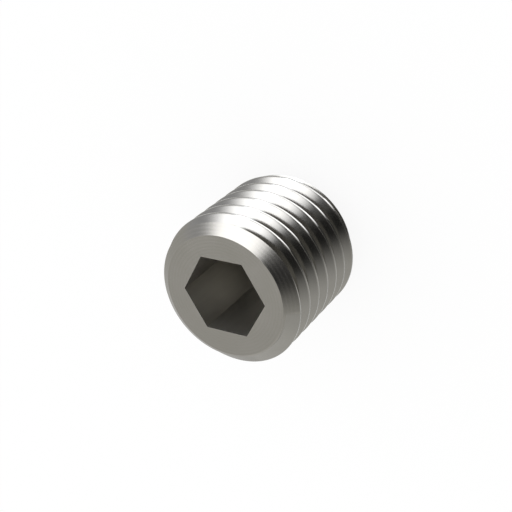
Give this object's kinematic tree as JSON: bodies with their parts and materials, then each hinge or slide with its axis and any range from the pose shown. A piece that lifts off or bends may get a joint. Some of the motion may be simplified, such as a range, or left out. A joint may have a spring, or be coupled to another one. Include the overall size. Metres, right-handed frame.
{
  "type": "flat point set screw",
  "caption": "Headless threaded steel screw with a hexagon socket in its upper end and a chamfered flat point at its lower end.",
  "frame": {"origin": "middle of the flat point, on the screw's axis, at the plane that the screw stands on", "axes": "+Z along the screw's axis, from the flat point to the socket end. +X through one corner of the hexagon socket"},
  "size_m": [0.008, 0.008, 0.008],
  "materials": {
    "steel": "plain turned stainless steel, bright, with a satin face and bright thread crests"
  },
  "bodies": {
    "root": {"set_screw": "steel"}
  },
  "joints": []
}
